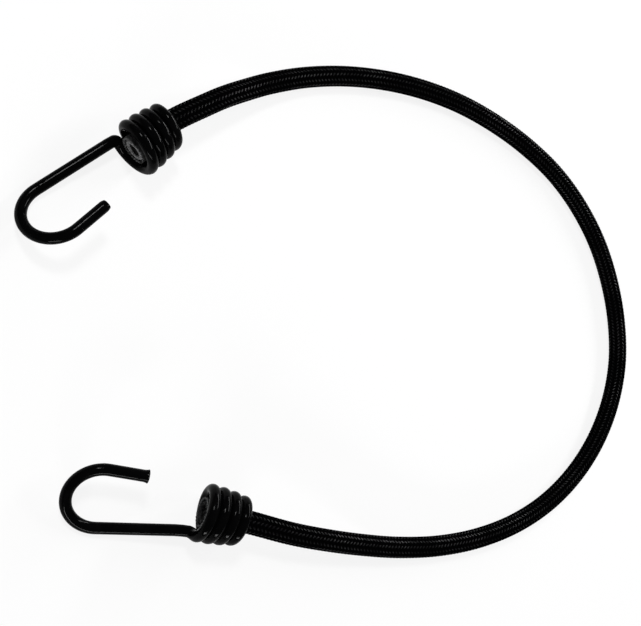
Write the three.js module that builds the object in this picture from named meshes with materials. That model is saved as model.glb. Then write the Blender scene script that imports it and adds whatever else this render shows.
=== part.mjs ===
// Bungee cord: an elastic cord in a braided sheath, lying in an open loop, with a wire hook on each end.
// Millimetres, +Z up, the table at z = 0, the origin under the middle of the two hooks.
import * as THREE from "three";

// Clearance left between pieces that touch
const touchGap = 0.3;

// Cord
const cordDiameter = 8.0;
const sheathWall = 0.92;
const sheathUnderFlat = 0.12;
const sheathSides = 12;
const sheathBoreSides = 10;
const cordSteps = 61;
const cordEndRecess = 0.4;

// Rubber strands of the core, laid in an inner group and a ring around it
const innerStrands = 3;
const outerStrands = 9;
const strandGap = 0.3;
const coreClearance = 0.1;
const strandSides = 5;

// Crimped ring on each cord end
const ferruleWall = 0.7;
const ferruleStart = 0.0;
const ferruleFlutes = 12;
const ferruleFluteDepth = 0.18;

// Hook wire and its coating
const coatedDiameter = 4.0;
const coatingWall = 0.6;
const coatingFit = 0.1;
const coatingUnderFlat = 0.1;
const coatingSides = 8;
const steelSides = 6;
const tipWall = 1.2;
const tipFlare = 0.2;
const tipFlareLength = 1.4;

// Hook: a straight shank, a round bowl and a short arm
const shankLength = 29.4;
const bowlRadius = 10.75;
const bowlSweep = THREE.MathUtils.degToRad(187.7);
const bowlSteps = 15;
const armLength = 12.5;

// Coil: left-hand turns that narrow from the mouth at the hook to the throat on the cord
const coilMouthClearance = 1.09;
const coilTaper = 1.88;
const coilTurns = 3.93;
const coilStepsPerTurn = 24;
const coilEntryRadius = 2.6;
const coilEntrySteps = 5;
const coilExitRun = 0.5;

// Where each hook lies: the middle of its coil's mouth, then in degrees its axis's heading, its roll about
// that axis and how far its shank was bent off it
const upperPlace = { x: -1.99, y: 57.58, heading: 40.7, roll: -34.6, lean: 5.0 };
const lowerPlace = { x: 20.99, y: -62.37, heading: -16.0, roll: 207.5, lean: 11.4 };
const steepest = 20;

// The cord's free run from the upper coil to the lower one: x, y and the lift above where it lies
const freeRun = [
  [23.5, 76.5, 6.4],
  [31.4, 81.0, 5.2],
  [40.4, 85.4, 3.5],
  [50.9, 90.0, 1.7],
  [66.5, 95.1, 0.1],
  [83.5, 98.2, 0],
  [101.7, 99.3, 0],
  [120.3, 98.2, 0],
  [139.0, 94.7, 0],
  [157.1, 88.6, 0],
  [174.4, 80.2, 0],
  [190.2, 69.4, 0],
  [203.2, 55.8, 0],
  [213.1, 40.2, 0],
  [219.4, 23.0, 0],
  [222.4, 5.3, 0],
  [221.8, -12.7, 0],
  [216.5, -30.2, 0],
  [207.0, -46.4, 0],
  [193.8, -60.4, 0],
  [177.6, -71.5, 0],
  [159.3, -79.1, 0],
  [140.0, -83.2, 0],
  [120.8, -84.3, 0],
  [101.3, -82.8, 1.0],
  [83.8, -79.8, 2.8],
  [68.9, -76.5, 4.6],
  [54.5, -72.7, 6.1],
];

// Sizes that follow from the ones above
const cordRadius = cordDiameter / 2;
const cordFlat = sheathWall - sheathUnderFlat;
const sheathBoreRadius = cordRadius - sheathWall;
const coreRadius = sheathBoreRadius * Math.cos(Math.PI / sheathBoreSides) - coreClearance;
const ringSine = Math.sin(Math.PI / outerStrands);
const strandRadius = (coreRadius * ringSine - strandGap / 2) / (1 + ringSine);
const outerStrandRing = coreRadius - strandRadius;
const innerStrandRing = (strandRadius + strandGap / 2) / Math.sin(Math.PI / innerStrands);
const coatedRadius = coatedDiameter / 2;
const coatedFlatRadius = coatedRadius * Math.cos(Math.PI / coatingSides);
const steelRadius = coatedRadius - coatingWall - coatingFit;
const hookFlat = coatingWall - coatingUnderFlat;
const ferruleSides = 2 * ferruleFlutes;
const ferruleBoreRadius = (cordRadius + touchGap) / Math.cos(Math.PI / ferruleSides);
const ferruleRadius = ferruleBoreRadius + ferruleWall;
const coilMouthRadius = ferruleRadius + coilMouthClearance + coatedFlatRadius;
const coilThroatRadius = cordRadius + touchGap + coatedFlatRadius;
const coilPitch = 2 * coatedFlatRadius + touchGap;
const coilLength = coilPitch * coilTurns;

// The ring reaches in to where the narrowing coil stops it
const seatShare = (coilMouthClearance - touchGap) / (coilMouthRadius - coilThroatRadius);
const ferruleEnd = coilLength * seatShare ** (1 / coilTaper);

// Radius of the coil's centre line after a share of its turns
function coilRadius(share) {
  return coilMouthRadius + (coilThroatRadius - coilMouthRadius) * share ** coilTaper;
}

// The coil's centre line in the hook's own axes, X along the coil: the bend out of the shank, then the turns
function coilLine() {
  const line = [];
  for (let step = 0; step <= coilEntrySteps; step += 1) {
    const bend = ((Math.PI / 2) * step) / coilEntrySteps;
    const angle = (coilEntryRadius * (1 - Math.cos(bend))) / coilMouthRadius;
    const y = coilMouthRadius * Math.cos(angle);
    const z = -coilMouthRadius * Math.sin(angle);
    line.push(new THREE.Vector3(coilEntryRadius * (Math.sin(bend) - 1), y, z));
  }
  const steps = Math.round(coilTurns * coilStepsPerTurn);
  for (let step = 1; step <= steps; step += 1) {
    const share = step / steps;
    const angle = coilEntryRadius / coilMouthRadius + 2 * Math.PI * coilTurns * share;
    const radius = coilRadius(share);
    line.push(new THREE.Vector3(coilLength * share, radius * Math.cos(angle), -radius * Math.sin(angle)));
  }
  return line;
}

// The hook's centre line in the same axes, from the tip round the bowl and up the shank
function bowlLine(place) {
  const line = [new THREE.Vector3(-shankLength / 2, 0, 0), new THREE.Vector3(-shankLength, 0, 0)];
  for (let step = 1; step <= bowlSteps; step += 1) {
    const angle = (bowlSweep * step) / bowlSteps;
    const x = -shankLength - bowlRadius * Math.sin(angle);
    line.push(new THREE.Vector3(x, bowlRadius * (Math.cos(angle) - 1), 0));
  }
  const armStart = line[line.length - 1];
  const armWay = new THREE.Vector3(-Math.cos(bowlSweep), -Math.sin(bowlSweep), 0);
  const flareStart = armLength - tipFlareLength;
  for (const along of [flareStart - tipFlare, flareStart, armLength]) {
    line.push(armStart.clone().addScaledVector(armWay, along));
  }
  const lean = THREE.MathUtils.degToRad(place.lean);
  const bent = new THREE.Matrix4().makeRotationZ(-lean).setPosition(coilLine()[0]);
  return line.map((point) => point.applyMatrix4(bent)).reverse();
}

// A hook's place for one slope of its coil's axis, with the coil pressed onto the table
function slopedFrame(place, slope) {
  const heading = THREE.MathUtils.degToRad(place.heading);
  const roll = THREE.MathUtils.degToRad(place.roll);
  const frame = new THREE.Matrix4()
    .makeRotationZ(heading)
    .multiply(new THREE.Matrix4().makeRotationY(-THREE.MathUtils.degToRad(slope)))
    .multiply(new THREE.Matrix4().makeRotationX(roll));
  const height = coatedRadius - hookFlat - lowest(coilLine(), frame);
  return frame.setPosition(place.x, place.y, height);
}

function lowest(line, frame) {
  return Math.min(...line.map((point) => point.clone().applyMatrix4(frame).z));
}

// A hook's place as it lies, on its coil and its bowl: the slope is found by halving
function restingFrame(place) {
  let lower = -steepest;
  let upper = steepest;
  while (upper - lower > 0.001) {
    const middle = (lower + upper) / 2;
    const frame = slopedFrame(place, middle);
    if (lowest(bowlLine(place), frame) > lowest(coilLine(), frame)) {
      lower = middle;
    } else {
      upper = middle;
    }
  }
  return slopedFrame(place, (lower + upper) / 2);
}

// Collects triangles into one closed geometry
class Skin {
  positions = [];

  triangle(...corners) {
    for (const corner of corners) {
      this.positions.push(corner.x, corner.y, corner.z);
    }
  }

  // The wall between two rings of as many points
  band(first, second) {
    first.forEach((corner, i) => {
      const next = (i + 1) % first.length;
      this.triangle(corner, first[next], second[next]);
      this.triangle(corner, second[next], second[i]);
    });
  }

  // A run of walls through many rings
  tube(rings) {
    for (let i = 1; i < rings.length; i += 1) {
      this.band(rings[i - 1], rings[i]);
    }
  }

  // A flat lid over a ring
  lid(ring) {
    for (let i = 1; i < ring.length - 1; i += 1) {
      this.triangle(ring[0], ring[i + 1], ring[i]);
    }
  }

  // A flat face between an outer and an inner ring, which may differ in their number of points
  rim(outer, inner) {
    let i = 0;
    let j = 0;
    while (i < outer.length || j < inner.length) {
      const a = outer[i % outer.length];
      const b = inner[j % inner.length];
      if ((i + 1) / outer.length <= (j + 1) / inner.length) {
        i += 1;
        this.triangle(a, b, outer[i % outer.length]);
      } else {
        j += 1;
        this.triangle(a, b, inner[j % inner.length]);
      }
    }
  }

  geometry() {
    const made = new THREE.BufferGeometry();
    made.setAttribute("position", new THREE.Float32BufferAttribute(this.positions, 3));
    made.computeVertexNormals();
    return made;
  }
}

// Points of an even polygon, with a flat or a corner on its own X axis
function polygon(radius, sides, phase, centre = new THREE.Vector2()) {
  const corners = [];
  for (let i = 0; i < sides; i += 1) {
    const angle = phase + (2 * Math.PI * i) / sides;
    corners.push(new THREE.Vector2(Math.cos(angle), Math.sin(angle)).multiplyScalar(radius).add(centre));
  }
  return corners;
}

// Rings of points around a hook's wire, with a flat of each ring facing out from the coil
function wireRings(line, steady, radii, sides, phase) {
  return line.map((point, i) => {
    const before = line[Math.max(i - 1, 0)];
    const after = line[Math.min(i + 1, line.length - 1)];
    const along = after.clone().sub(before).normalize();
    const side = steady[i].clone().addScaledVector(along, -steady[i].dot(along)).normalize();
    const across = along.clone().cross(side);
    return polygon(radii[i], sides, phase).map((corner) =>
      point.clone().addScaledVector(side, corner.x).addScaledVector(across, corner.y),
    );
  });
}

// Presses points up to the table where they would lie under it
function pressRings(rings, frame) {
  const back = frame.clone().invert();
  for (const point of rings.flat()) {
    point.applyMatrix4(frame);
    point.z = Math.max(point.z, 0);
    point.applyMatrix4(back);
  }
}

const group = new THREE.Group();
group.name = "bungee_cord";

function addPiece(parent, name, geometry, look) {
  const piece = new THREE.Mesh(geometry, new THREE.MeshStandardMaterial(look));
  piece.name = name;
  parent.add(piece);
}

const sheathLook = { color: 0x1b1b1d, roughness: 0.9, metalness: 0.0 };
const rubberLook = { color: 0x2a2724, roughness: 0.8, metalness: 0.0 };
const coatingLook = { color: 0x0c0c0d, roughness: 0.28, metalness: 0.0 };
const steelLook = { color: 0x9a9da0, roughness: 0.35, metalness: 1.0 };
const ferruleLook = { color: 0x8d9092, roughness: 0.45, metalness: 1.0 };

// One hook in its own axes: steel wire, and a coating closed at the tip and cut open at the coil's end
function addHook(name, place, frame) {
  const hook = new THREE.Group();
  hook.applyMatrix4(frame);
  group.add(hook);

  const bowl = bowlLine(place);
  const coil = coilLine();
  const line = [...bowl, ...coil];
  const steady = bowl.map(() => new THREE.Vector3(0, 0, 1));
  coil.forEach((point, i) => {
    const along = coil[Math.min(i + 1, coil.length - 1)].clone().sub(coil[Math.max(i - 1, 0)]);
    steady.push(along.cross(new THREE.Vector3(0, point.y, point.z)).normalize());
  });

  const coatedRadii = line.map((point, i) => (i < 2 ? coatedRadius + tipFlare : coatedRadius));
  const outer = wireRings(line, steady, coatedRadii, coatingSides, Math.PI / coatingSides);
  pressRings(outer, frame);

  const tipInward = line[1].clone().sub(line[0]).normalize();
  const boreLine = [line[0].clone().addScaledVector(tipInward, tipWall), ...line.slice(1)];
  const boreRadii = line.map(() => steelRadius + coatingFit);
  const bore = wireRings(boreLine, steady, boreRadii, steelSides, 0);

  const coating = new Skin();
  coating.tube(outer);
  coating.tube(bore.slice().reverse());
  coating.lid(outer[0]);
  coating.lid(bore[0].slice().reverse());
  coating.rim(outer[line.length - 1].slice().reverse(), bore[line.length - 1].slice().reverse());
  addPiece(hook, `${name}_hook_coating`, coating.geometry(), coatingLook);

  const steelLine = [line[0].clone().addScaledVector(tipInward, tipWall + coatingFit), ...line.slice(1)];
  const steelRadii = line.map(() => steelRadius);
  const steel = wireRings(steelLine, steady, steelRadii, steelSides, 0);
  const wire = new Skin();
  wire.tube(steel);
  wire.lid(steel[0]);
  wire.lid(steel[line.length - 1].slice().reverse());
  addPiece(hook, `${name}_hook_wire`, wire.geometry(), steelLook);

  // Crimped ring around the cord's end, fluted by the crimping tool
  const section = new THREE.Shape(polygon(ferruleRadius, ferruleSides, 0));
  section.holes.push(new THREE.Path(polygon(ferruleBoreRadius, ferruleSides, 0)));
  const ferrule = new THREE.ExtrudeGeometry(section, {
    depth: ferruleEnd - ferruleStart,
    bevelEnabled: false,
  });
  fluteRing(ferrule);
  ferrule.rotateY(Math.PI / 2).translate(ferruleStart, 0, 0);
  addPiece(hook, `${name}_crimp_ferrule`, ferrule, ferruleLook);
}

// Draws every second outer corner of the ring inwards
function fluteRing(geometry) {
  const positions = geometry.attributes.position;
  for (let i = 0; i < positions.count; i += 1) {
    const x = positions.getX(i);
    const y = positions.getY(i);
    const corner = Math.round((Math.atan2(y, x) / (2 * Math.PI)) * ferruleSides);
    const radius = Math.hypot(x, y);
    if (corner % 2 !== 0 && radius > ferruleRadius - ferruleWall / 2) {
      const shrink = 1 - ferruleFluteDepth / radius;
      positions.setXY(i, x * shrink, y * shrink);
    }
  }
}

const upperFrame = restingFrame(upperPlace);
const lowerFrame = restingFrame(lowerPlace);
addHook("upper", upperPlace, upperFrame);
addHook("lower", lowerPlace, lowerFrame);

// The cord's smooth line: straight through each coil, and the free run between them
const straightRun = coilLength + coatedRadius + coilExitRun;
const straightShares = [0, 0.25, 0.5, 0.75, 1];
function straightPoints(frame) {
  return straightShares.map((share) => {
    const along = THREE.MathUtils.lerp(cordEndRecess, straightRun, share);
    return new THREE.Vector3(along, 0, 0).applyMatrix4(frame);
  });
}
const lyingHeight = cordRadius - cordFlat;
const runPoints = freeRun.map(([x, y, lift]) => new THREE.Vector3(x, y, lyingHeight + lift));
const cordCurve = new THREE.CatmullRomCurve3(
  [...straightPoints(upperFrame), ...runPoints, ...straightPoints(lowerFrame).reverse()],
  false,
  "centripetal",
);
cordCurve.arcLengthDivisions = 2000;

// Sweeps one section along the whole cord
function alongCord(section) {
  return new THREE.ExtrudeGeometry(section, { steps: cordSteps, extrudePath: cordCurve });
}

// Braided sheath: a tube, pressed flat where it lies on the table
const sheathSection = new THREE.Shape(polygon(cordRadius, sheathSides, Math.PI / sheathSides));
sheathSection.holes.push(new THREE.Path(polygon(sheathBoreRadius, sheathBoreSides, 0)));
const sheath = alongCord(sheathSection);
const sheathPositions = sheath.attributes.position;
for (let i = 0; i < sheathPositions.count; i += 1) {
  sheathPositions.setZ(i, Math.max(sheathPositions.getZ(i), 0));
}
addPiece(group, "braided_sheath", sheath, sheathLook);

// Rubber strands, one node each
const innerPlaces = polygon(innerStrandRing, innerStrands, Math.PI / outerStrands);
const outerPlaces = polygon(outerStrandRing, outerStrands, 0);
[...innerPlaces, ...outerPlaces].forEach((place, i) => {
  const section = new THREE.Shape(polygon(strandRadius, strandSides, 0, place));
  addPiece(group, `rubber_strand_${i + 1}`, alongCord(section), rubberLook);
});

// Least gap between the facing flats of the coil's turns
const turnPoints = coilLine();
let leastGap = Infinity;
turnPoints.forEach((point, i) => {
  for (const later of turnPoints.slice(i + coilStepsPerTurn / 2)) {
    leastGap = Math.min(leastGap, point.distanceTo(later) - 2 * coatedFlatRadius);
  }
});
console.log(`cord ${cordCurve.getLength().toFixed(1)} mm, least gap between turns ${leastGap.toFixed(2)} mm`);

export default group;
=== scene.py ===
import math

import bpy
import numpy as np
from mathutils import Matrix, Quaternion, Vector


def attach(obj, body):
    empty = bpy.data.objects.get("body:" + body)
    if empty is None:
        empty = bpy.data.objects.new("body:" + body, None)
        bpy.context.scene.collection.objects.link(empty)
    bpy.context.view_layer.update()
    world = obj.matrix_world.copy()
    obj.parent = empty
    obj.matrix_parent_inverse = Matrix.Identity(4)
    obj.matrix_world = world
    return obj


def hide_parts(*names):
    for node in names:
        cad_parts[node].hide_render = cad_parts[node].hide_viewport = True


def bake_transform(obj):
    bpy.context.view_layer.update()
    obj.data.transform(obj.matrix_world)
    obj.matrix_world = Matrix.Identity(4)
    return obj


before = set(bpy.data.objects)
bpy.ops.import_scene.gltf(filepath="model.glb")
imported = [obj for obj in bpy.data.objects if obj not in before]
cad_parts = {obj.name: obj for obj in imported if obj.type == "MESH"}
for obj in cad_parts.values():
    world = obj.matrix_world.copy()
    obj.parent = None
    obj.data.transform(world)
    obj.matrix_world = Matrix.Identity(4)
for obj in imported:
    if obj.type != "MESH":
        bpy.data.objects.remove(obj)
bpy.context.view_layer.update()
scene = bpy.context.scene
scene.view_settings.view_transform = "Standard"


# Camera, where the photographer stood
cameraSetup = {
    "place": (-0.08371, -0.02288, 0.29144),
    "right": (0.88203, -0.02184, 0.47070),
    "up": (-0.02184, 0.99596, 0.08712),
    "lens": 49.548,
    "sensor": 36.0,
    "nearest": 0.01,
    "farthest": 20.0,
}


def makeCamera(setup):
    bpy.ops.object.camera_add()
    camera = bpy.context.object
    camera.name = "photoCamera"
    right = Vector(setup["right"]).normalized()
    back = right.cross(Vector(setup["up"])).normalized()
    turned = Matrix((right, back.cross(right), back)).transposed().to_4x4()
    camera.matrix_world = Matrix.Translation(setup["place"]) @ turned
    camera.data.sensor_fit = "HORIZONTAL"
    camera.data.sensor_width = setup["sensor"]
    camera.data.lens = setup["lens"]
    camera.data.clip_start = setup["nearest"]
    camera.data.clip_end = setup["farthest"]
    scene.camera = camera


makeCamera(cameraSetup)
print("camera set")


# How each hook lies: the middle of its coil's mouth, the turns of its own axes and its shank's lean
# in degrees, and how far its tip spreads where the wire was cut. Then its end of the cord: how pale
# the sealed end is, turned down at the lower end as a painted shade, and the x from which the cord moves
# fully with that end
upperPlace = {
    "mouth": (-0.00199, 0.05758, 0.009389),
    "heading": 40.7,
    "slope": 3.255,
    "roll": -34.6,
    "lean": 5.0,
    "tipFlare": -0.00035,
    "sealToneAndShade": 1.0,
    "stretchEnd": 0.0235,
}
lowerPlace = {
    "mouth": (0.02099, -0.06237, 0.009202),
    "heading": -16.0,
    "slope": 2.112,
    "roll": 207.5,
    "lean": 11.4,
    "tipFlare": 0.00030,
    # the lower sealed end is painted darker: a painted shade
    "sealToneAndShade": 0.12,
    "stretchEnd": 0.0480,
}


def hookFrame(place):
    turned = Matrix.Rotation(math.radians(place["heading"]), 4, "Z")
    turned @= Matrix.Rotation(math.radians(-place["slope"]), 4, "Y")
    turned @= Matrix.Rotation(math.radians(place["roll"]), 4, "X")
    return Matrix.Translation(place["mouth"]) @ turned


upperFrame = hookFrame(upperPlace)
lowerFrame = hookFrame(lowerPlace)

# The cord's route: straight through each coil, then x, y and the lift above where it lies
cordRoute = {
    "recess": 0.0004,
    "straightRun": 0.018202,
    "straightPoints": 5,
    "lyingHeight": 0.0032,
    "stepsPerPoint": 120,
    "lookAround": 0.0005,
    "pathPoints": 400,
    "freeRun": [
        (0.0235, 0.0765, 0.0064),
        (0.0314, 0.0810, 0.0052),
        (0.0404, 0.0854, 0.0035),
        (0.0509, 0.0900, 0.0017),
        (0.0665, 0.0951, 0.0001),
        (0.0835, 0.0982, 0.0),
        (0.1017, 0.0993, 0.0),
        (0.1203, 0.0982, 0.0),
        (0.1390, 0.0947, 0.0),
        (0.1571, 0.0886, 0.0),
        (0.1744, 0.0802, 0.0),
        (0.1902, 0.0694, 0.0),
        (0.2032, 0.0558, 0.0),
        (0.2131, 0.0402, 0.0),
        (0.2194, 0.0230, 0.0),
        (0.2224, 0.0053, 0.0),
        (0.2218, -0.0127, 0.0),
        (0.2165, -0.0302, 0.0),
        (0.2070, -0.0464, 0.0),
        (0.1938, -0.0604, 0.0),
        (0.1776, -0.0715, 0.0),
        (0.1593, -0.0791, 0.0),
        (0.1400, -0.0832, 0.0),
        (0.1208, -0.0843, 0.0),
        (0.1013, -0.0828, 0.0010),
        (0.0838, -0.0798, 0.0028),
        (0.0689, -0.0765, 0.0046),
        (0.0545, -0.0727, 0.0061),
    ],
}


def straightPoints(hook, route):
    run = np.linspace(route["recess"], route["straightRun"], route["straightPoints"])
    return [hook @ Vector((x, 0, 0)) for x in run]


def smoothLine(points, steps):
    # a smooth curve through the points, eased by the square root of their spacing
    p = np.array([tuple(q) for q in points])
    p = np.vstack([2 * p[0] - p[1], p, 2 * p[-1] - p[-2]])
    gap = np.sqrt(np.linalg.norm(np.diff(p, axis=0), axis=1))
    line = []
    for i in range(1, len(p) - 2):
        a, b, c, d = p[i - 1 : i + 3]
        g0, g1, g2 = gap[i - 1 : i + 2]
        leave = ((b - a) / g0 - (c - a) / (g0 + g1) + (c - b) / g1) * g1
        arrive = ((c - b) / g1 - (d - b) / (g1 + g2) + (d - c) / g2) * g1
        t = np.linspace(0, 1, steps, endpoint=False)[:, None]
        bend = 2 * b - 2 * c + leave + arrive
        sway = -3 * b + 3 * c - 2 * leave - arrive
        line.append(b + leave * t + sway * t**2 + bend * t**3)
    line.append(p[-2:-1])
    return np.vstack(line)


def lengthAlong(line):
    return np.concatenate([[0], np.cumsum(np.linalg.norm(np.diff(line, axis=0), axis=1))])


routePoints = straightPoints(upperFrame, cordRoute)
routePoints += [Vector((x, y, cordRoute["lyingHeight"] + lift)) for x, y, lift in cordRoute["freeRun"]]
routePoints += straightPoints(lowerFrame, cordRoute)[::-1]
fineRoute = smoothLine(routePoints, cordRoute["stepsPerPoint"])
routeAlong = lengthAlong(fineRoute)
cordLength = float(routeAlong[-1])
farBend = float(routeAlong[fineRoute[:, 0].argmax()])
print("cord route", round(cordLength, 4), "m, its far bend at", round(farBend, 4))


def onRoute(along):
    # centre, sideways and upward directions at distances along the cord, run on straight past its ends
    along = np.atleast_1d(along)
    inside = np.clip(along, 0, cordLength)
    step = cordRoute["lookAround"]

    def at(place):
        return np.stack([np.interp(place, routeAlong, fineRoute[:, k]) for k in range(3)], axis=1)

    ahead = at(np.minimum(inside + step, cordLength)) - at(np.maximum(inside - step, 0))
    ahead /= np.linalg.norm(ahead, axis=1)[:, None]
    side = np.cross((0, 0, 1), ahead)
    side /= np.linalg.norm(side, axis=1)[:, None]
    return at(inside) + (along - inside)[:, None] * ahead, side, np.cross(ahead, side)


# Steps that several pieces share
mergeGap = 0.000002
edgeSegments = 3


def addObject(name, data):
    piece = bpy.data.objects.new(name, data)
    scene.collection.objects.link(piece)
    return piece


def selectOnly(piece):
    bpy.ops.object.select_all(action="DESELECT")
    bpy.context.view_layer.objects.active = piece
    piece.select_set(True)


def joinAndFaceOut():
    # in edit mode, joins points that lie on each other and turns every face outward
    bpy.ops.mesh.select_all(action="SELECT")
    bpy.ops.mesh.remove_doubles(threshold=mergeGap)
    bpy.ops.mesh.normals_make_consistent(inside=False)


def roundEdges(piece, width, degrees):
    rounded = piece.modifiers.new("rounded", "BEVEL")
    rounded.width = width
    rounded.segments = edgeSegments
    rounded.limit_method = "ANGLE"
    rounded.angle_limit = math.radians(degrees)
    bpy.ops.object.modifier_apply(modifier=rounded.name)


# Braided sheath: 24 yarns, each over two and under two, in columns along the cord
sheathShape = {
    "radius": 0.0040,
    "bore": 0.00308,
    "yarnsEachWay": 12,
    "lay": 0.0180,
    "yarnRise": 0.00013,
    "yarnCrown": 0.00026,
    "sides": 72,
    "ringsPerYarn": 6,
    # distances from the cord's end to the first braided ring and to where the bore starts
    "firstRing": 0.0009,
    "boreStart": 0.002,
    "boreStep": 0.003,
    # the sealed end, rolled in over the rubber: distance from the cord's end, radius
    "rolledEnd": [
        (0.00055, 0.00396),
        (0.00026, 0.00388),
        (0.00004, 0.00370),
        (-0.00010, 0.00338),
        (-0.00012, 0.00300),
        (-0.00004, 0.00268),
        (0.00016, 0.00248),
        (0.00045, 0.00243),
        (0.00085, 0.00252),
        (0.00130, 0.00280),
    ],
    "plainRings": 2,  # how many of the last rolled rings have no lobes
    "endLobe": 0.00010,
}
yarnPitch = sheathShape["lay"] / sheathShape["yarnsEachWay"]

# Where the cord lies on its map for baking, in shares of the map
bakeLayout = {
    "columns": 4,
    "columnsWidth": 0.97,
    "columnStart": 0.01,
    "columnFill": 0.97,
    "boreStart": 0.972,
    "boreWidth": 0.026,
    "rowStart": 0.002,
    "rowFill": 0.996,
}


def braidHeight(turn, along, shape):
    # how high the upper yarn stands at a share of a turn and a distance along
    right = turn * shape["yarnsEachWay"] - along / yarnPitch
    left = turn * shape["yarnsEachWay"] + along / yarnPitch
    rise = shape["yarnRise"] * np.cos(math.pi / 2 * (right + left - 0.5))
    rightCrown = np.sqrt(np.clip(1 - 4 * (right - np.round(right)) ** 2, 0, 1))
    leftCrown = np.sqrt(np.clip(1 - 4 * (left - np.round(left)) ** 2, 0, 1))
    return np.maximum(rise + shape["yarnCrown"] * rightCrown, shape["yarnCrown"] * leftCrown - rise)


def cordRings(along, radius, wave, shape):
    # rings of points about the cord; a wave of 1 braids the ring, below 0 it has lobes
    turn = np.arange(shape["sides"]) / shape["sides"]
    centre, side, up = onRoute(along)
    top = shape["yarnRise"] + shape["yarnCrown"]
    woven = braidHeight(turn[None, :], along[:, None], shape) - top
    lobes = shape["endLobe"] * np.cos(2 * math.pi * 2 * shape["yarnsEachWay"] * turn)[None, :]
    braided = np.clip(wave, 0, 1)[:, None]
    lobed = np.clip(-wave, 0, 1)[:, None]
    reach = radius[:, None] + braided * woven + lobed * lobes
    angle = 2 * math.pi * turn[None, :, None]
    offset = reach[..., None] * (np.cos(angle) * side[:, None] + np.sin(angle) * up[:, None])
    # the underside is pressed flatter where the cord lies on the table
    press = np.minimum(1, centre[:, 2] / shape["radius"])[:, None]
    offset[..., 2] = np.where(offset[..., 2] < 0, offset[..., 2] * press, offset[..., 2])
    return centre[:, None] + offset


def halfProfile(run, shape):
    # out along the braid from the far bend, over the rolled end, and back along the bore
    count = int((run - shape["firstRing"]) / yarnPitch * shape["ringsPerYarn"])
    outer = np.linspace(run, shape["firstRing"], count)
    rolled = np.array(shape["rolledEnd"])
    inner = np.linspace(shape["boreStart"], run, int(run / shape["boreStep"]))
    fromMouth = np.concatenate([outer, rolled[:, 0], inner])
    outerRadius = np.full(count, shape["radius"])
    radius = np.concatenate([outerRadius, rolled[:, 1], np.full(len(inner), shape["bore"])])
    wave = np.concatenate([np.ones(count), np.full(len(rolled), -1.0), np.zeros(len(inner))])
    lastRolled = count + len(rolled)
    wave[lastRolled - shape["plainRings"] : lastRolled] = 0
    return count, fromMouth, radius, wave


def addMap(mesh, name, x, y):
    layer = mesh.uv_layers.new(name=name)
    layer.uv.foreach_set("vector", np.stack([x, y], axis=-1).astype(np.float32).ravel())


def addBakeMap(mesh, ring, turns, rows, count, total, layout):
    # the braid in columns side by side, and the rolled end and bore in a strip beside them
    perColumn = math.ceil(count / layout["columns"])
    column = np.minimum(ring // perColumn, layout["columns"])[..., None]
    isOuter = (ring < count)[..., None]
    width = layout["columnsWidth"] / layout["columns"]
    outerX = (column + layout["columnStart"] + layout["columnFill"] * turns) * width
    innerX = layout["boreStart"] + layout["boreWidth"] * turns
    outerY = layout["rowFill"] * (rows - column * perColumn) / perColumn
    innerY = layout["rowFill"] * ((rows - count) / (total - count))
    rowY = layout["rowStart"] + np.where(isOuter, outerY, innerY)
    addMap(mesh, "OFBake", np.where(isOuter, outerX, innerX), rowY)


def makeCordHalf(name, mouthAlong, way, sealToneAndShade, shape):
    count, fromMouth, radius, wave = halfProfile(abs(farBend - mouthAlong), shape)
    along = mouthAlong + way * fromMouth
    rings = cordRings(along, radius, wave, shape)

    # each face's four corners, as ring and side, and their places on the maps
    sides, total = shape["sides"], len(along)
    i, j = np.meshgrid(np.arange(total), np.arange(sides), indexing="ij")
    nextI, nextJ = (i + 1) % total, (j + 1) % sides
    corners = [(i, j), (nextI, j), (nextI, nextJ), (i, nextJ)]
    turns = [j, j, j + 1, j + 1]
    rows = [i, i + 1, i + 1, i]
    if way < 0:
        corners, turns, rows = corners[::-1], turns[::-1], rows[::-1]
    faces = np.stack([a * sides + b for a, b in corners], axis=-1).reshape(-1, 4)
    turns = np.stack(turns, axis=-1) / sides
    rows = np.stack(rows, axis=-1)
    mesh = bpy.data.meshes.new(name)
    mesh.from_pydata(rings.reshape(-1, 3).tolist(), [], faces.tolist())

    # one map for the braid, in yarns around and yarns along, and one for baking
    forward = np.append(along, along[-1])[rows] / yarnPitch
    addMap(mesh, "braid", turns * shape["yarnsEachWay"], forward)
    addBakeMap(mesh, i, turns, rows, count, total, bakeLayout)
    # the sealed end's paleness per end; the lower end's is turned down as a painted shade
    sealed = mesh.attributes.new("sealed", "FLOAT", "POINT")
    tone = np.repeat(sealToneAndShade * np.clip(-wave, 0, 1), sides)
    sealed.data.foreach_set("value", tone.astype(np.float32))
    mesh.shade_smooth()
    mesh.validate()
    return addObject(name, mesh)


upperCord = makeCordHalf("upperCord", 0.0, 1, upperPlace["sealToneAndShade"], sheathShape)
lowerCord = makeCordHalf("lowerCord", cordLength, -1, lowerPlace["sealToneAndShade"], sheathShape)
print("cord halves braided:", len(upperCord.data.polygons) + len(lowerCord.data.polygons), "faces")


# Rubber strands of the core, three inside a ring of nine
strandShape = {
    "radius": 0.00064,
    "sides": 10,
    "innerCount": 3,
    "innerRing": 0.000877,
    "innerTurn": 20.0,
    "outerCount": 9,
    "outerRing": 0.00222,
    "endRecess": 0.0008,
    # the rounded rim of the cut end, by how much it draws in and how long it is
    "rimInset": 0.00010,
    "rimLength": 0.00012,
    "firstStep": 0.001,
    "step": 0.003,
    "sharpEdge": 50.0,
}


def strandPlaces(shape):
    # distance from the cord's middle and angle of each strand
    inner, outer = shape["innerCount"], shape["outerCount"]
    places = [(shape["innerRing"], shape["innerTurn"] + 360 / inner * k) for k in range(inner)]
    return places + [(shape["outerRing"], 360 / outer * k) for k in range(outer)]


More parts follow.
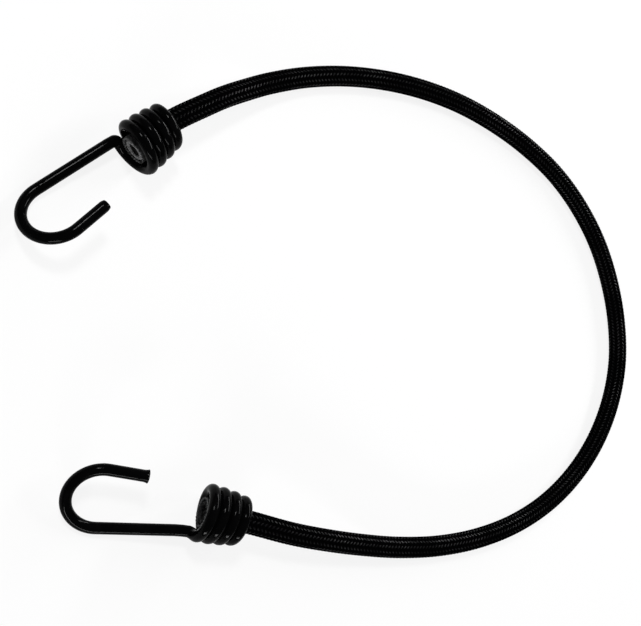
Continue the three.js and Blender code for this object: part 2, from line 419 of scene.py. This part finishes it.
def makeStrands(name, mouthAlong, way, shape):
    run = abs(farBend - mouthAlong)
    cut, sides = shape["endRecess"], shape["sides"]
    length = np.linspace(cut + shape["firstStep"], run, int(run / shape["step"]))
    fromMouth = np.concatenate([[cut, cut, cut + shape["rimLength"]], length, [run]])
    reach = np.full(len(fromMouth), shape["radius"])
    reach[[0, -1]] = 0.0
    reach[1] -= shape["rimInset"]
    centre, side, up = onRoute(mouthAlong + way * fromMouth)
    ring = 2 * math.pi * np.arange(sides) / sides
    points, faces = [], []
    for distance, degrees in strandPlaces(shape):
        first, turn = len(points), math.radians(degrees)
        x = distance * math.cos(turn) + reach[:, None] * np.cos(ring)
        y = distance * math.sin(turn) + reach[:, None] * np.sin(ring)
        tube = centre[:, None] + x[..., None] * side[:, None] + y[..., None] * up[:, None]
        points += tube.reshape(-1, 3).tolist()
        for i in range(len(fromMouth) - 1):
            for j in range(sides):
                k = (j + 1) % sides
                quad = [i * sides + j, i * sides + k, (i + 1) * sides + k, (i + 1) * sides + j]
                faces.append([first + n for n in (quad if way > 0 else quad[::-1])])
    mesh = bpy.data.meshes.new(name)
    mesh.from_pydata(points, [], faces)
    strands = addObject(name, mesh)
    selectOnly(strands)
    bpy.ops.object.mode_set(mode="EDIT")
    joinAndFaceOut()
    bpy.ops.object.mode_set(mode="OBJECT")
    bpy.ops.object.shade_smooth_by_angle(angle=math.radians(shape["sharpEdge"]))
    return strands


upperStrands = makeStrands("upperStrands", 0.0, 1, strandShape)
lowerStrands = makeStrands("lowerStrands", cordLength, -1, strandShape)
print("rubber strands laid")


# Hook: one wire, wound into the coil, bent into the bowl and cut at the tip
hookShape = {
    "wireRadius": 0.00197,
    "shankLength": 0.0294,
    "shankEnd": 0.12,  # share of the shank left to the bend into the coil
    "bowlRadius": 0.01075,
    "bowlSweep": 187.7,
    "armLength": 0.0125,
    "mouthRadius": 0.007975,
    "throatRadius": 0.006148,
    "taper": 1.88,
    "turns": 3.93,
    "coilLength": 0.015702,
    "entryRadius": 0.0026,
    "armPoints": 26,
    "bowlPoints": 73,
    "shankPoints": 24,
    "entryPoints": 8,
    "entrySkipped": 2,
    "stepsPerTurn": 72,
    "stepsPerPoint": 2,
    "tipFlareLength": 0.0014,
    "tipFlareEase": 1.6,
    "cutCover": 0.0003,
    "roundness": 14,
    # the face of each cut end, sunk inside a rounded rim
    "faceInset": 0.0009,
    "faceDepth": 0.00012,
    "rimWidth": 0.00022,
    "rimAngle": 50.0,
    "sharpEdge": 60.0,
}


def coilPoints(shape):
    mouth, entry = shape["mouthRadius"], shape["entryRadius"]
    points = []
    for bend in np.linspace(0, math.pi / 2, shape["entryPoints"])[shape["entrySkipped"] :]:
        angle = entry * (1 - math.cos(bend)) / mouth
        points.append((entry * (math.sin(bend) - 1), mouth * math.cos(angle), -mouth * math.sin(angle)))
    for share in np.linspace(0, 1, int(shape["turns"] * shape["stepsPerTurn"]))[1:]:
        angle = entry / mouth + 2 * math.pi * shape["turns"] * share
        radius = mouth + (shape["throatRadius"] - mouth) * share ** shape["taper"]
        points.append((shape["coilLength"] * share, radius * math.cos(angle), -radius * math.sin(angle)))
    return [Vector(p) for p in points]


def hookPoints(shape, degrees):
    # tip, arm, bowl and shank, in the same axes as the coil
    sweep, radius, length = math.radians(shape["bowlSweep"]), shape["bowlRadius"], shape["shankLength"]

    def onBowl(angle):
        return Vector((-length - radius * math.sin(angle), radius * (math.cos(angle) - 1), 0))

    way = Vector((-math.cos(sweep), -math.sin(sweep), 0))
    points = [onBowl(sweep) + way * x for x in np.linspace(shape["armLength"], 0, shape["armPoints"])]
    points += [onBowl(angle) for angle in np.linspace(sweep, 0, shape["bowlPoints"])[1:]]
    shank = np.linspace(1, shape["shankEnd"], shape["shankPoints"])[1:]
    points += [Vector((-length * x, 0, 0)) for x in shank]
    lean = Matrix.Rotation(-math.radians(degrees), 4, "Z")
    place = Matrix.Translation((-shape["entryRadius"], shape["mouthRadius"], 0))
    return [place @ lean @ p for p in points]


def makeHookCoating(name, hook, place, shape):
    line = smoothLine(hookPoints(shape, place["lean"]) + coilPoints(shape), shape["stepsPerPoint"])
    last = line[-1] - line[-2]
    line = np.vstack([line, line[-1] + last / np.linalg.norm(last) * shape["cutCover"]])
    nearTip = np.clip(1 - lengthAlong(line) / shape["tipFlareLength"], 0, 1)
    flare = nearTip ** shape["tipFlareEase"] * place["tipFlare"]
    curve = bpy.data.curves.new(name, "CURVE")
    curve.dimensions = "3D"
    curve.bevel_depth = shape["wireRadius"]
    curve.bevel_resolution = shape["roundness"]
    curve.use_fill_caps = True
    spline = curve.splines.new("POLY")
    spline.points.add(len(line) - 1)
    for point, spot, extra in zip(spline.points, line, flare):
        point.co = (*spot, 1)
        point.radius = 1 + extra / shape["wireRadius"]
    selectOnly(addObject(name, curve))
    bpy.ops.object.convert(target="MESH")
    wire = bpy.context.object
    # both cut ends get a rounded rim and a slightly sunk face
    bpy.ops.object.mode_set(mode="EDIT")
    joinAndFaceOut()
    bpy.ops.mesh.select_all(action="DESELECT")
    bpy.ops.mesh.select_face_by_sides(number=4, type="GREATER")
    bpy.ops.mesh.inset(thickness=shape["faceInset"], depth=-shape["faceDepth"])
    bpy.ops.object.mode_set(mode="OBJECT")
    roundEdges(wire, shape["rimWidth"], shape["rimAngle"])
    wire.data.transform(hook)
    bpy.ops.object.shade_smooth_by_angle(angle=math.radians(shape["sharpEdge"]))
    return wire


upperHook = makeHookCoating("upperHookCoating", upperFrame, upperPlace, hookShape)
lowerHook = makeHookCoating("lowerHookCoating", lowerFrame, lowerPlace, hookShape)
print("hooks wound")


# Crimped ring on each end of the cord
ringShape = {
    "outerRadius": 0.00504,
    "wall": 0.00066,
    "length": 0.010053,
    "flutes": 12,
    "fluteDepth": 0.00018,
    "fluteAtEnds": 0.35,  # share of the depth that the flutes keep at the ring's ends
    "teeth": 24,
    "toothDepth": 0.00010,
    # the toothed edge at the mouth: how far it is set back and drawn in, and the teeth's share along x
    "edgeReach": 0.0002,
    "edgeSetback": 0.00004,
    "edgeInset": 0.00008,
    "toothSlant": 0.6,
    "segments": 144,
    "cuts": (0.0003, 0.0007, 0.0014, 0.0028, 0.0044, 0.0060, 0.0076, 0.0088, 0.0096),
    "edgeRound": 0.00014,
    "edgeAngle": 60.0,
    "sharpEdge": 45.0,
}


def pressFlutes(ring, shape):
    ends = shape["fluteAtEnds"]
    for vertex in ring.data.vertices:
        x, y, z = vertex.co
        angle = math.atan2(z, y)
        pressed = math.sin(math.pi * min(1, max(0, x / shape["length"]))) ** 0.5
        flute = 0.5 - 0.5 * math.cos(shape["flutes"] * angle)
        shrink = shape["fluteDepth"] * (ends + (1 - ends) * pressed) * flute
        tooth = shape["toothDepth"] * math.cos(shape["teeth"] * angle)
        if x < shape["edgeReach"]:
            x += shape["edgeSetback"] + tooth * shape["toothSlant"]
            shrink += shape["edgeInset"] + tooth
        scale = 1 - shrink / shape["outerRadius"]
        vertex.co = (x, y * scale, z * scale)


def makeCrimpedRing(name, hook, shape):
    bpy.ops.object.select_all(action="DESELECT")
    bpy.ops.mesh.primitive_cylinder_add(
        vertices=shape["segments"],
        radius=shape["outerRadius"],
        depth=shape["length"],
        end_fill_type="NOTHING",
        location=(shape["length"] / 2, 0, 0),
        rotation=(0, math.pi / 2, 0),
    )
    ring = bpy.context.object
    ring.name = name
    ring.data.name = name
    bpy.ops.object.transform_apply(location=True, rotation=True, scale=True)
    bpy.ops.object.mode_set(mode="EDIT")
    for x in shape["cuts"]:
        bpy.ops.mesh.select_all(action="SELECT")
        bpy.ops.mesh.bisect(plane_co=(x, 0, 0), plane_no=(1, 0, 0))
    bpy.ops.object.mode_set(mode="OBJECT")
    pressFlutes(ring, shape)
    wall = ring.modifiers.new("wall", "SOLIDIFY")
    wall.thickness = shape["wall"]
    wall.offset = -1
    bpy.ops.object.modifier_apply(modifier=wall.name)
    roundEdges(ring, shape["edgeRound"], shape["edgeAngle"])
    ring.data.transform(hook)
    bpy.ops.object.shade_smooth_by_angle(angle=math.radians(shape["sharpEdge"]))
    return ring


upperRing = makeCrimpedRing("upperCrimpedRing", upperFrame, ringShape)
lowerRing = makeCrimpedRing("lowerCrimpedRing", lowerFrame, ringShape)
print("rings crimped")


# Materials
def newMaterial(name):
    material = bpy.data.materials.new(name)
    material.use_nodes = True
    return material, material.node_tree, material.node_tree.nodes["Principled BSDF"]


def addNode(tree, kind, **settings):
    node = tree.nodes.new(kind)
    for key, value in settings.items():
        setattr(node, key, value)
    return node


def feed(tree, value, socket):
    # a socket is linked, a plain value is set
    if isinstance(value, bpy.types.NodeSocket):
        tree.links.new(value, socket)
    else:
        socket.default_value = value


def mathNode(tree, operation, *values):
    node = addNode(tree, "ShaderNodeMath", operation=operation)
    for value, socket in zip(values, node.inputs):
        feed(tree, value, socket)
    return node.outputs[0]


def mixColour(tree, factor, first, second):
    # a mix node's colours are its sixth and seventh inputs and its second output, counted from 0
    node = addNode(tree, "ShaderNodeMix", data_type="RGBA")
    feed(tree, factor, node.inputs[0])
    feed(tree, first, node.inputs[6])
    feed(tree, second, node.inputs[7])
    return node.outputs[2]


def mixNumber(tree, factor, first, second):
    node = addNode(tree, "ShaderNodeMix", data_type="FLOAT")
    feed(tree, factor, node.inputs[0])
    feed(tree, first, node.inputs[2])
    feed(tree, second, node.inputs[3])
    return node.outputs[0]


def mapRange(tree, value, low, high, toLow, toHigh):
    node = addNode(tree, "ShaderNodeMapRange", interpolation_type="SMOOTHSTEP")
    for number, socket in zip((value, low, high, toLow, toHigh), node.inputs):
        feed(tree, number, socket)
    return node.outputs[0]


def noiseNode(tree, vector, scale, detail, roughness):
    node = addNode(tree, "ShaderNodeTexNoise")
    feed(tree, vector, node.inputs["Vector"])
    feed(tree, scale, node.inputs["Scale"])
    feed(tree, detail, node.inputs["Detail"])
    feed(tree, roughness, node.inputs["Roughness"])
    return node.outputs["Fac"]


def addBump(tree, height, strength, distance, before=None):
    node = addNode(tree, "ShaderNodeBump")
    feed(tree, strength, node.inputs["Strength"])
    feed(tree, distance, node.inputs["Distance"])
    feed(tree, height, node.inputs["Height"])
    if before is not None:
        feed(tree, before, node.inputs["Normal"])
    return node.outputs["Normal"]


def objectPlace(tree):
    return addNode(tree, "ShaderNodeTexCoord").outputs["Object"]


# Dust and scuffs from handling, in patches with fine specks: noise detail and roughness, then the range
wearLook = {
    "patch": {"noise": (4.0, 0.5), "range": (0.35, 0.70, 0.0, 1.0)},
    "speck": {"noise": (2.0, 0.5), "range": (0.60, 0.74, 0.0, 1.0)},
}


def makeHandlingGroup(look):
    tree = bpy.data.node_groups.new("handlingWear", "ShaderNodeTree")
    sockets = tree.interface
    sockets.new_socket("Place", in_out="INPUT", socket_type="NodeSocketVector")
    sockets.new_socket("Patch Scale", in_out="INPUT", socket_type="NodeSocketFloat")
    sockets.new_socket("Speck Scale", in_out="INPUT", socket_type="NodeSocketFloat")
    sockets.new_socket("Patches", in_out="OUTPUT", socket_type="NodeSocketFloat")
    sockets.new_socket("Specks", in_out="OUTPUT", socket_type="NodeSocketFloat")
    inside, outside = addNode(tree, "NodeGroupInput"), addNode(tree, "NodeGroupOutput")
    for kind, scale, result in (("patch", "Patch Scale", "Patches"), ("speck", "Speck Scale", "Specks")):
        noise = noiseNode(tree, inside.outputs["Place"], inside.outputs[scale], *look[kind]["noise"])
        feed(tree, mapRange(tree, noise, *look[kind]["range"]), outside.inputs[result])
    return tree


handlingWear = makeHandlingGroup(wearLook)


def addWear(tree, place, patchScale, speckScale):
    node = addNode(tree, "ShaderNodeGroup", node_tree=handlingWear)
    feed(tree, place, node.inputs["Place"])
    feed(tree, patchScale, node.inputs["Patch Scale"])
    feed(tree, speckScale, node.inputs["Speck Scale"])
    return node.outputs["Patches"], node.outputs["Specks"]


# Ranges run from low and high to what they give; noise is scale, detail and roughness; bump is
# strength and distance; wear is the scale of patches and of specks
braidLook = {
    # grooves coloured darker than the crowns: a painted shade
    "groove": (0.0004, 0.0004, 0.0005, 1),
    "crown": (0.0012, 0.0012, 0.0013, 1),
    # pale ticks on the yarn crests: a painted highlight
    "paintedGlint": (0.0140, 0.0140, 0.0144, 1),
    "sealed": (0.2000, 0.2000, 0.2015, 1),
    "specular": 0.0,
    "crestCoat": 0.6,
    "crestGloss": 0.40,
    "rise": 0.5,
    "raisedRange": (0.55, 1.45, 0.0, 1.0),
    "paintedGlintRange": (1.28, 1.48, 0.0, 1.0),
    # filaments: how often across a yarn and along it, and a shift between the two ways
    "filaments": 9.0,
    "filamentRun": 0.9,
    "filamentShift": 7.3,
    "filamentNoise": (1.6, 2.0, 0.55),
    "crownFilaments": (0.30, 0.70, 0.35, 1.0),
    "paintedGlintFilaments": (0.35, 0.62, 0.10, 1.0),
    "paintedGlintPatches": (0.0, 1.0, 0.40, 1.0),
    "glossFilaments": (0.30, 0.75, 0.30, 0.50),
    "meltNoise": (1400.0, 2.0, 0.55),
    "meltRange": (0.30, 0.70, 0.25, 1.0),
    "wear": (60.0, 1500.0),
    "yarnBump": (0.6, 0.00010),
    "filamentBump": (0.5, 0.00005),
}


def makeBraidMaterial(look):
    material, tree, shader = newMaterial("blackBraid")
    parts = addNode(tree, "ShaderNodeSeparateXYZ")
    feed(tree, addNode(tree, "ShaderNodeUVMap", uv_map="braid").outputs["UV"], parts.inputs[0])
    around, forward = parts.outputs["X"], parts.outputs["Y"]
    right = mathNode(tree, "SUBTRACT", around, forward)
    left = mathNode(tree, "ADD", around, forward)
    column = mathNode(tree, "MULTIPLY", around, math.pi)
    rise = mathNode(tree, "COSINE", mathNode(tree, "SUBTRACT", column, math.pi / 4))
    rise = mathNode(tree, "MULTIPLY", rise, look["rise"])

    def crown(yarn):
        centred = mathNode(tree, "SUBTRACT", yarn, mathNode(tree, "ROUND", yarn))
        doubled = mathNode(tree, "MULTIPLY", centred, 2.0)
        square = mathNode(tree, "MULTIPLY", doubled, doubled)
        below = mathNode(tree, "SUBTRACT", 1.0, square)
        return mathNode(tree, "SQRT", mathNode(tree, "MAXIMUM", below, 0.0))

    rightTop = mathNode(tree, "ADD", rise, crown(right))
    leftTop = mathNode(tree, "SUBTRACT", crown(left), rise)
    height = mathNode(tree, "MAXIMUM", rightTop, leftTop)
    onRight = mathNode(tree, "GREATER_THAN", rightTop, leftTop)

    # filaments run along whichever yarn is on top
    across = mixNumber(tree, onRight, left, right)
    lengthwise = mixNumber(tree, onRight, right, left)
    filamentPlace = addNode(tree, "ShaderNodeCombineXYZ")
    feed(tree, mathNode(tree, "MULTIPLY", across, look["filaments"]), filamentPlace.inputs[0])
    feed(tree, mathNode(tree, "MULTIPLY", lengthwise, look["filamentRun"]), filamentPlace.inputs[1])
    feed(tree, mathNode(tree, "MULTIPLY", onRight, look["filamentShift"]), filamentPlace.inputs[2])
    filament = noiseNode(tree, filamentPlace.outputs[0], *look["filamentNoise"])

    place = objectPlace(tree)
    patches = addWear(tree, place, *look["wear"])[0]
    # the grooves between the yarns are painted darker than the crowns, a painted shade broken up by the
    # filaments
    raised = mapRange(tree, height, *look["raisedRange"])
    unshadedCrown = mathNode(tree, "MULTIPLY", raised, mapRange(tree, filament, *look["crownFilaments"]))
    colour = mixColour(tree, unshadedCrown, look["groove"], look["crown"])
    # pale ticks on the yarn crests, broken up in patches: a painted highlight; the coat on the crests
    # below adds real gloss
    crest = mapRange(tree, height, *look["paintedGlintRange"])
    crest = mathNode(tree, "MULTIPLY", crest, mapRange(tree, filament, *look["paintedGlintFilaments"]))
    crest = mathNode(tree, "MULTIPLY", crest, mapRange(tree, patches, *look["paintedGlintPatches"]))
    colour = mixColour(tree, crest, colour, look["paintedGlint"])
    # the sealed end is paler, where the cut yarns were melted together; the lower end's paleness is
    # turned down as a painted shade
    sealed = addNode(tree, "ShaderNodeAttribute", attribute_name="sealed").outputs["Fac"]
    melted = mapRange(tree, noiseNode(tree, place, *look["meltNoise"]), *look["meltRange"])
    colour = mixColour(tree, mathNode(tree, "MULTIPLY", sealed, melted), colour, look["sealed"])
    feed(tree, colour, shader.inputs["Base Color"])
    feed(tree, mapRange(tree, filament, *look["glossFilaments"]), shader.inputs["Roughness"])
    feed(tree, look["specular"], shader.inputs["Specular IOR Level"])
    coat = mapRange(tree, crest, 0.0, 1.0, 0.0, look["crestCoat"])
    feed(tree, coat, shader.inputs["Coat Weight"])
    feed(tree, look["crestGloss"], shader.inputs["Coat Roughness"])
    woven = addBump(tree, height, *look["yarnBump"])
    feed(tree, addBump(tree, filament, *look["filamentBump"], woven), shader.inputs["Normal"])
    return material


rubberLook = {
    "dark": (0.004, 0.0039, 0.0037, 1),
    "pale": (0.015, 0.0145, 0.014, 1),
    "specular": 0.05,
    "gloss": (0.0, 1.0, 0.65, 0.85),
    "wear": (900.0, 4000.0),
    "bump": (0.3, 0.00004),
}


def makeRubberMaterial(look):
    material, tree, shader = newMaterial("coreRubber")
    patches, specks = addWear(tree, objectPlace(tree), *look["wear"])
    feed(tree, mixColour(tree, patches, look["dark"], look["pale"]), shader.inputs["Base Color"])
    feed(tree, mapRange(tree, patches, *look["gloss"]), shader.inputs["Roughness"])
    feed(tree, look["specular"], shader.inputs["Specular IOR Level"])
    feed(tree, addBump(tree, specks, *look["bump"]), shader.inputs["Normal"])
    return material


coatingLook = {
    "black": (0.0010, 0.0010, 0.0011, 1),
    "dusty": (0.0045, 0.0045, 0.0046, 1),
    "haze": 0.15,  # dust of a patch away from its specks
    "speckDust": 0.6,
    "specular": 0.030,
    "gloss": (0.0, 1.0, 0.08, 0.15),
    "wear": (160.0, 2600.0),
    "rippleNoise": (420.0, 2.0, 0.55),
    "rippleBump": (0.12, 0.0004),
    "speckBump": (0.15, 0.00004),
}


def makeCoatingMaterial(look):
    material, tree, shader = newMaterial("blackDippedCoating")
    place = objectPlace(tree)
    patches, specks = addWear(tree, place, *look["wear"])
    speckDust = mathNode(tree, "MULTIPLY", specks, look["speckDust"])
    dust = mathNode(tree, "MULTIPLY", patches, mathNode(tree, "ADD", speckDust, look["haze"]))
    feed(tree, mixColour(tree, dust, look["black"], look["dusty"]), shader.inputs["Base Color"])
    feed(tree, mapRange(tree, patches, *look["gloss"]), shader.inputs["Roughness"])
    feed(tree, look["specular"], shader.inputs["Specular IOR Level"])
    ripple = addBump(tree, noiseNode(tree, place, *look["rippleNoise"]), *look["rippleBump"])
    feed(tree, addBump(tree, specks, *look["speckBump"], ripple), shader.inputs["Normal"])
    return material


metalWear = {"wear": (420.0, 3200.0), "bump": (0.25, 0.00004)}
zincLook = {
    "clean": (0.105, 0.106, 0.108, 1),
    "dull": (0.040, 0.0396, 0.038, 1),
    "gloss": (0.0, 1.0, 0.52, 0.70),
    **metalWear,
}
steelLook = {
    "clean": (0.50, 0.50, 0.51, 1),
    "dull": (0.30, 0.29, 0.28, 1),
    "gloss": (0.0, 1.0, 0.28, 0.45),
    **metalWear,
}


def makeMetalMaterial(name, look):
    material, tree, shader = newMaterial(name)
    patches, specks = addWear(tree, objectPlace(tree), *look["wear"])
    feed(tree, mixColour(tree, patches, look["clean"], look["dull"]), shader.inputs["Base Color"])
    feed(tree, mapRange(tree, patches, *look["gloss"]), shader.inputs["Roughness"])
    feed(tree, 1.0, shader.inputs["Metallic"])
    feed(tree, addBump(tree, specks, *look["bump"]), shader.inputs["Normal"])
    return material


def cover(piece, material):
    piece.data.materials.clear()
    piece.data.materials.append(material)


braid = makeBraidMaterial(braidLook)
rubber = makeRubberMaterial(rubberLook)
coating = makeCoatingMaterial(coatingLook)
zinc = makeMetalMaterial("crimpedZinc", zincLook)
steel = makeMetalMaterial("drawnSteel", steelLook)
for pieces, material, slot in (
    ((upperCord, lowerCord), braid, "sheath"),
    ((upperStrands, lowerStrands), rubber, "core_rubber"),
    ((upperHook, lowerHook), coating, "hook_coating"),
    ((upperRing, lowerRing), zinc, "ferrule"),
):
    for piece in pieces:
        cover(piece, material)
for name in ("upper_hook_wire", "lower_hook_wire"):
    cover(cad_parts[name], steel)
print("materials made")


# Hide the model's parts these pieces stand in for, hang each hook and ring on its body, and fix the cord
# and strands where they are
strandCount = strandShape["innerCount"] + strandShape["outerCount"]
strandNodes = [f"rubber_strand_{k + 1}" for k in range(strandCount)]
for end, place, mouthAlong, hook, ring, cord, strands in (
    ("upper", upperPlace, 0.0, upperHook, upperRing, upperCord, upperStrands),
    ("lower", lowerPlace, cordLength, lowerHook, lowerRing, lowerCord, lowerStrands),
):
    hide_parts(f"{end}_hook_coating")
    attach(hook, f"{end}_hook")
    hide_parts(f"{end}_crimp_ferrule")
    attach(ring, f"{end}_end")
    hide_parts("braided_sheath")
    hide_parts(*strandNodes)
    for soft in (cord, strands):
        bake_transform(soft)
    half = np.linspace(mouthAlong, farBend, cordRoute["pathPoints"])
    tuple(onRoute(mouthAlong)[0][0])
    onRoute(half)[0].tolist()
print("pieces ride on their bodies")


# Floor, world and lamps
stageSetup = {
    "floor": (0.90, 0.90, 0.90, 1),
    "floorRough": 0.9,
    "floorSpecular": 0.1,
    "floorRadius": 8.0,
    "floorSides": 96,
    "wallHeight": 3.2,
    "floorGlow": 0.85,
    "worldColour": (1, 1, 1, 1),
    "worldLight": 0.15,
    "aim": (0.05, 0.0, 0.0),
    "distance": 0.90,
    "lamps": [
        # compass turn, height and tilt in degrees, width, length, watts
        (32.0, 22.0, -40.0, 0.95, 0.09, 10.0),
        (115.0, 56.0, 0.0, 0.14, 0.14, 4.0),
        (-105.0, 15.0, 0.0, 0.50, 0.10, 5.0),
    ],
}


def makeFloorMaterial(setup):
    material, tree, shader = newMaterial("paleFloor")
    feed(tree, setup["floor"], shader.inputs["Base Color"])
    feed(tree, setup["floorRough"], shader.inputs["Roughness"])
    feed(tree, setup["floorSpecular"], shader.inputs["Specular IOR Level"])
    # white to the camera, without lighting the object or shining in its gloss
    rays = addNode(tree, "ShaderNodeLightPath").outputs
    seen = mathNode(tree, "MAXIMUM", rays["Is Camera Ray"], rays["Is Transmission Ray"])
    mix = addNode(tree, "ShaderNodeMixShader")
    feed(tree, mathNode(tree, "MULTIPLY", seen, setup["floorGlow"]), mix.inputs[0])
    feed(tree, shader.outputs[0], mix.inputs[1])
    feed(tree, addNode(tree, "ShaderNodeEmission").outputs[0], mix.inputs[2])
    feed(tree, mix.outputs[0], tree.nodes["Material Output"].inputs["Surface"])
    return material


def makeFloor(setup):
    # a round floor with a low wall: a drum without its top, seen from inside
    bpy.ops.object.select_all(action="DESELECT")
    bpy.ops.mesh.primitive_cylinder_add(
        vertices=setup["floorSides"],
        radius=setup["floorRadius"],
        depth=setup["wallHeight"],
        location=(0, 0, setup["wallHeight"] / 2),
    )
    floor = bpy.context.object
    floor.name = "floor"
    bpy.ops.object.transform_apply(location=True, rotation=True, scale=True)
    bpy.ops.object.mode_set(mode="EDIT")
    bpy.ops.mesh.select_all(action="DESELECT")
    bpy.ops.object.mode_set(mode="OBJECT")
    for face in floor.data.polygons:
        face.select = face.normal.z > 0.5
    bpy.ops.object.mode_set(mode="EDIT")
    bpy.ops.mesh.delete(type="FACE")
    bpy.ops.mesh.select_all(action="SELECT")
    bpy.ops.mesh.flip_normals()
    bpy.ops.object.mode_set(mode="OBJECT")
    floor.data.materials.append(makeFloorMaterial(setup))


def makeWorld(setup):
    scene.world = bpy.data.worlds.new("studio")
    scene.world.use_nodes = True
    background = scene.world.node_tree.nodes["Background"]
    background.inputs["Color"].default_value = setup["worldColour"]
    background.inputs["Strength"].default_value = setup["worldLight"]


def makeLamps(setup):
    for number, (turn, height, tilt, width, length, watts) in enumerate(setup["lamps"]):
        turn, height = math.radians(turn), math.radians(height)
        level = math.cos(height)
        away = Vector((math.cos(turn) * level, math.sin(turn) * level, math.sin(height)))
        bpy.ops.object.light_add(type="AREA", location=Vector(setup["aim"]) + away * setup["distance"])
        lamp = bpy.context.object
        lamp.name = f"softbox{number + 1}"
        lamp.data.shape = "RECTANGLE"
        lamp.data.size = width
        lamp.data.size_y = length
        lamp.data.energy = watts
        lamp.rotation_mode = "QUATERNION"
        tilted = Quaternion((0, 0, 1), math.radians(tilt))
        lamp.rotation_quaternion = (-away).to_track_quat("-Z", "Y") @ tilted


makeFloor(stageSetup)
makeWorld(stageSetup)
makeLamps(stageSetup)
print("stage lit")
